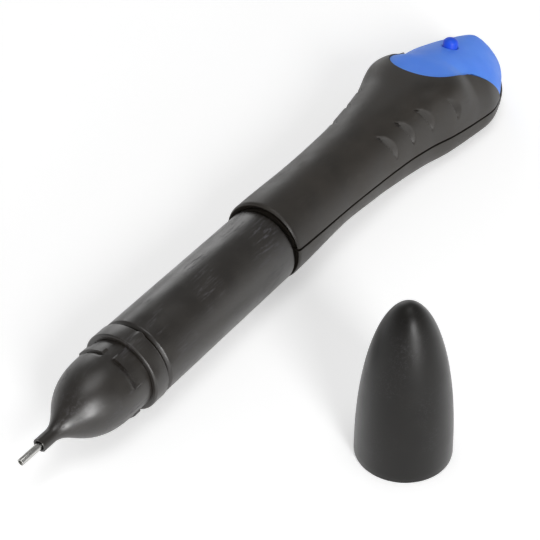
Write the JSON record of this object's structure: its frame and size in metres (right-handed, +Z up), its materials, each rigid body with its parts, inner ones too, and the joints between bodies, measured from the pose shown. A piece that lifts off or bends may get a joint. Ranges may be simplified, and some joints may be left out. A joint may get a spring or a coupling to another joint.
{
  "type": "uv glue pen",
  "caption": "Pen that lays light-cured glue through a fine steel needle and sets it with a small lamp under a blue tail cover; its domed cap stands beside it.",
  "frame": {"origin": "middle of the battery door, on the flat face that the head rests on", "axes": "+Y along the pen from needle to tail, +Z up from the table, +X across the pen towards the standing cap"},
  "size_m": [0.0653, 0.1511, 0.031],
  "materials": {
    "bottle_plastic": "satin",
    "handle_plastic": "satin",
    "cover_plastic": "translucent satin",
    "button_plastic": "satin",
    "white_plastic": "matte",
    "board_laminate": "satin",
    "glue": "clear liquid",
    "lamp_resin": "clear",
    "seal_rubber": "matte",
    "needle_steel": "polished",
    "screw_steel": "zinc plated",
    "cell_nickel": "nickel plated"
  },
  "bodies": {
    "handle": {"upper_shell": "handle_plastic", "lower_shell": "handle_plastic", "end_cover": "cover_plastic", "shell_screw_front": "screw_steel", "shell_screw_left": "screw_steel", "shell_screw_right": "screw_steel", "battery_holder": "white_plastic", "coin_cell_1": "cell_nickel", "coin_cell_2": "cell_nickel", "contact_minus": "cell_nickel", "contact_plus": "cell_nickel", "battery_door": "handle_plastic", "door_screw": "screw_steel", "switch_body": "cell_nickel", "circuit_board": "board_laminate", "series_resistor": "handle_plastic", "uv_led": "lamp_resin", "led_lead_left": "cell_nickel", "led_lead_right": "cell_nickel"},
    "bottle": {"glue_bottle": "bottle_plastic", "bottle_plug": "bottle_plastic", "glue_fill": "glue", "collar_ring": "bottle_plastic", "nozzle": "bottle_plastic", "nozzle_seal": "seal_rubber", "needle": "needle_steel"},
    "button": {"push_button": "button_plastic"},
    "plunger": {"switch_plunger": "handle_plastic"},
    "cap": {"cap_shell": "bottle_plastic", "cap_seal": "seal_rubber"}
  },
  "joints": [
    {"name": "bottle_pull", "type": "slide", "parent": "handle", "child": "bottle", "axis": [0, -1, 0], "range_m": [0, 0.012]},
    {"name": "button_press", "type": "slide", "parent": "handle", "child": "button", "axis": [0, -0.2756, -0.9613], "range_m": [0, 0.0006], "stiffness_N_per_m": 300, "springref_m": -0.002},
    {"name": "switch_press", "type": "slide", "parent": "handle", "child": "plunger", "axis": [0, -0.2756, -0.9613], "range_m": [0, 0.0006], "stiffness_N_per_m": 50, "springref_m": -0.002},
    {"name": "cap_lift", "type": "slide", "parent": "handle", "child": "cap", "axis": [0, 0, 1], "range_m": [0, 0.04]}
  ],
  "couplings": [
    {"joint": "switch_press", "follows": "button_press", "ratio": 1}
  ]
}
